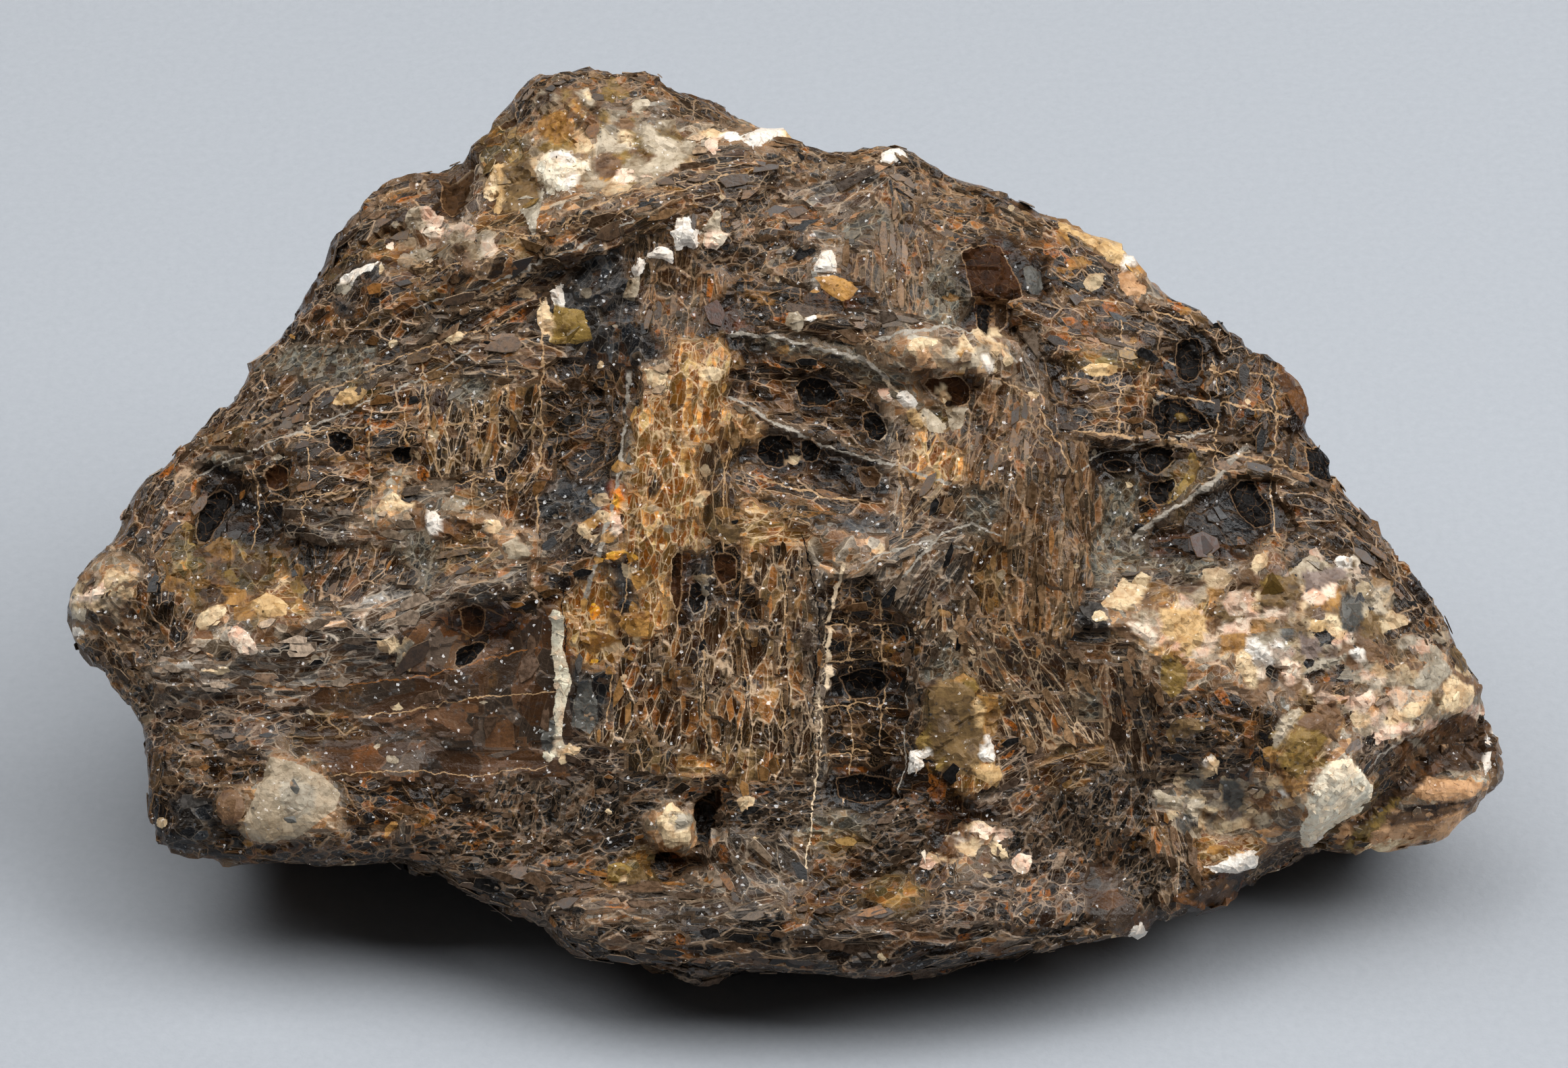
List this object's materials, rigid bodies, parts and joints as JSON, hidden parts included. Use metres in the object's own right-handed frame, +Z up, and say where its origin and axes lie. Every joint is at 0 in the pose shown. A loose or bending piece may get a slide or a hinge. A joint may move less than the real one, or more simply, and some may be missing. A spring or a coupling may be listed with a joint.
{
  "type": "bannisterite specimen",
  "caption": "Broken lump of brown mica-like bannisterite with pale quartz, feldspar and calcite grains, resting on a flat underside.",
  "frame": {"origin": "middle of the footprint's bounding box, at the height of the surface that the specimen rests on", "axes": "+Z up, +X along the specimen's width from left to right, -Y toward the side that its broken display face looks at"},
  "size_m": [0.0918, 0.0512, 0.0443],
  "materials": {
    "rock": "glassy cleavage flakes in a rough brown matrix"
  },
  "bodies": {
    "root": {"bannisterite_block": "rock"}
  },
  "joints": []
}
